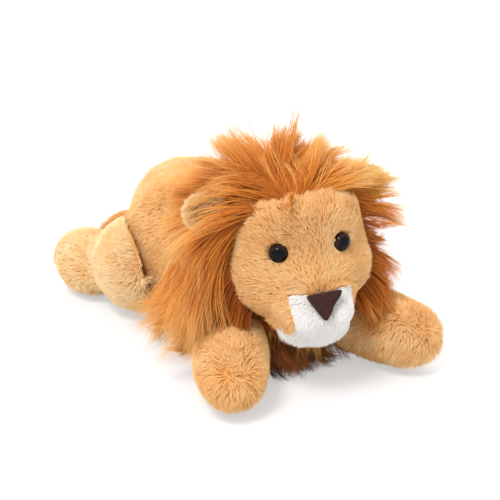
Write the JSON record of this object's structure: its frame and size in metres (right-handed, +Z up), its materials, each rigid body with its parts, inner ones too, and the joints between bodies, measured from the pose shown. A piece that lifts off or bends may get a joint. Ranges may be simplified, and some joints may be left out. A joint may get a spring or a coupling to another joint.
{
  "type": "plush lion",
  "caption": "Plush lion lying on its belly, with a long-pile mane, a white muzzle, folding ears, legs that swing and a head that turns and nods.",
  "frame": {"origin": "on the floor, under the middle of the toy's bounding box", "axes": "+Z up, -Y the way that the lion faces, +X its own left side"},
  "size_m": [0.19, 0.3066, 0.1792],
  "materials": {
    "gold_plush": "short pile",
    "cream_plush": "short pile",
    "amber_long_pile": "long pile",
    "umber_long_pile": "long pile",
    "white_plush": "short pile",
    "polyester_fill": "loose fibre",
    "pellet_bag": "woven bag of pellets",
    "clear_plastic": "moulded",
    "black_eye_plastic": "polished dome",
    "brown_nose_plastic": "flocked"
  },
  "bodies": {
    "torso": {"torso_skin": "gold_plush", "torso_stuffing": "polyester_fill", "belly_pellet_bag": "pellet_bag", "ruff_left": "amber_long_pile", "ruff_right": "amber_long_pile", "chest_bib": "umber_long_pile"},
    "neck": {"neck_stuffing": "polyester_fill"},
    "head": {"head_skin": "gold_plush", "head_stuffing": "polyester_fill", "muzzle_left": "white_plush", "muzzle_right": "white_plush", "chin": "white_plush", "eye_left": "black_eye_plastic", "eye_washer_left": "clear_plastic", "eye_right": "black_eye_plastic", "eye_washer_right": "clear_plastic", "nose": "brown_nose_plastic", "nose_washer": "clear_plastic", "mane_crown": "amber_long_pile", "mane_nape": "amber_long_pile", "mane_left": "amber_long_pile", "mane_right": "amber_long_pile"},
    "ear_left": {"ear_left": "gold_plush", "ear_lining_left": "cream_plush"},
    "front_leg_left": {"front_leg_left_skin": "gold_plush", "front_leg_left_stuffing": "polyester_fill"},
    "hind_leg_left": {"hind_leg_left_skin": "gold_plush", "hind_leg_left_stuffing": "polyester_fill"},
    "ear_right": {"ear_right": "gold_plush", "ear_lining_right": "cream_plush"},
    "front_leg_right": {"front_leg_right_skin": "gold_plush", "front_leg_right_stuffing": "polyester_fill"},
    "hind_leg_right": {"hind_leg_right_skin": "gold_plush", "hind_leg_right_stuffing": "polyester_fill"},
    "tail": {"tail": "gold_plush", "tail_tuft": "amber_long_pile"}
  },
  "joints": [
    {"name": "neck_turn", "type": "hinge", "parent": "torso", "child": "neck", "pos_m": [0, -0.06442, 0.066], "axis": [0, 0, 1], "range_deg": [-8, 8], "stiffness_Nm_per_rad": 0.6},
    {"name": "head_nod", "type": "hinge", "parent": "neck", "child": "head", "pos_m": [0, -0.06442, 0.066], "axis": [1, 0, 0], "range_deg": [-6, 3], "stiffness_Nm_per_rad": 1.5},
    {"name": "ear_fold_left", "type": "hinge", "parent": "head", "child": "ear_left", "pos_m": [0.03499, -0.09191, 0.11248], "axis": [0.6743, 0.1949, -0.7123], "range_deg": [-12, 16], "stiffness_Nm_per_rad": 0.03},
    {"name": "front_leg_swing_left", "type": "hinge", "parent": "torso", "child": "front_leg_left", "pos_m": [0.03, -0.05042, 0.032], "axis": [0, 0, 1], "range_deg": [-2, 12], "stiffness_Nm_per_rad": 0.4},
    {"name": "hind_leg_swing_left", "type": "hinge", "parent": "torso", "child": "hind_leg_left", "pos_m": [0.034, 0.03958, 0.038], "axis": [0, 0, 1], "range_deg": [-12, 0], "stiffness_Nm_per_rad": 0.4},
    {"name": "ear_fold_right", "type": "hinge", "parent": "head", "child": "ear_right", "pos_m": [-0.04758, -0.07736, 0.10735], "axis": [0.4768, -0.3979, 0.7838], "range_deg": [-12, 16], "stiffness_Nm_per_rad": 0.03},
    {"name": "front_leg_swing_right", "type": "hinge", "parent": "torso", "child": "front_leg_right", "pos_m": [-0.03, -0.05042, 0.032], "axis": [0, 0, 1], "range_deg": [-12, 2], "stiffness_Nm_per_rad": 0.4},
    {"name": "hind_leg_swing_right", "type": "hinge", "parent": "torso", "child": "hind_leg_right", "pos_m": [-0.034, 0.03958, 0.038], "axis": [0, 0, 1], "range_deg": [0, 12], "stiffness_Nm_per_rad": 0.4},
    {"name": "tail_swing", "type": "hinge", "parent": "torso", "child": "tail", "pos_m": [0, 0.09958, 0.042], "axis": [0, 0, 1], "range_deg": [-36, 2], "stiffness_Nm_per_rad": 0.05}
  ]
}
